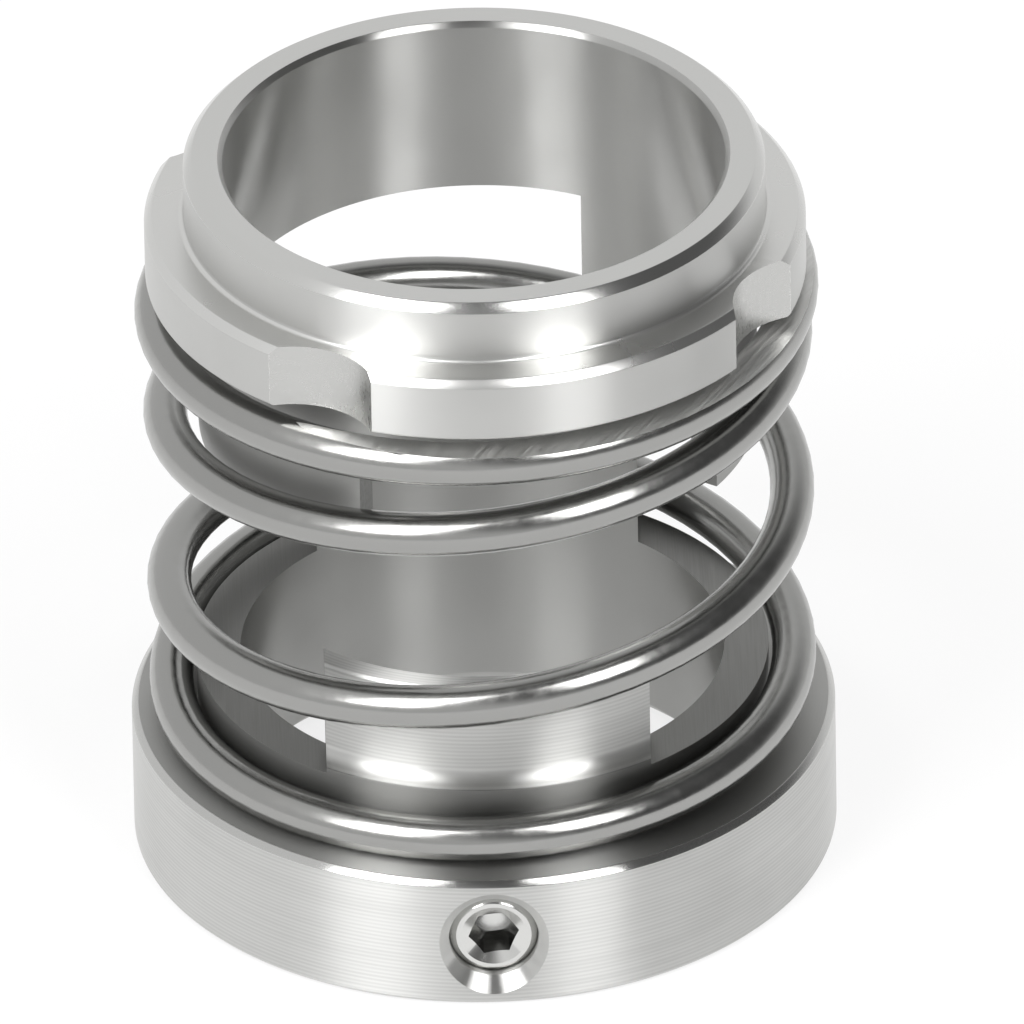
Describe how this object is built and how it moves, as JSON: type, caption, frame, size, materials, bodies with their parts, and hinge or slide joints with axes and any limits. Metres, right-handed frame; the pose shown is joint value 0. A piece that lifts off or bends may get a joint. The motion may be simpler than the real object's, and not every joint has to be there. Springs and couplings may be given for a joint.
{
  "type": "mechanical seal",
  "caption": "Rotating half of a single-spring mechanical shaft seal: drive collar with tongues and set screw, coil spring and slotted seal ring.",
  "frame": {"origin": "on the shaft's axis, at the flat end of the drive collar that the seal stands on", "axes": "+Z along the shaft axis from the collar to the sealing face; the set screw and one tongue point to -Y"},
  "size_m": [0.048, 0.048, 0.053],
  "materials": {
    "drive_collar": "turned stainless steel, milled beside the tongues",
    "set_screw": "bright stainless steel",
    "spring": "drawn stainless wire, ground at both ends",
    "seal_ring": "finely turned stainless steel"
  },
  "bodies": {
    "collar": {"drive_collar": "drive_collar"},
    "screw": {"set_screw": "set_screw"},
    "spring": {"spring": "spring"},
    "ring": {"seal_ring": "seal_ring"}
  },
  "joints": [
    {"name": "screw_turn", "type": "hinge", "parent": "collar", "child": "screw", "pos_m": [0, 0, 0.0049], "axis": [0, 1, 0], "continuous": true},
    {"name": "ring_turn", "type": "hinge", "parent": "collar", "child": "spring", "pos_m": [0, 0, 0], "axis": [0, 0, 1], "continuous": true},
    {"name": "ring_slide", "type": "slide", "parent": "spring", "child": "ring", "axis": [0, 0, 1], "range_m": [-0.0105, 0], "stiffness_N_per_m": 3600, "deforming": ["spring"]}
  ]
}
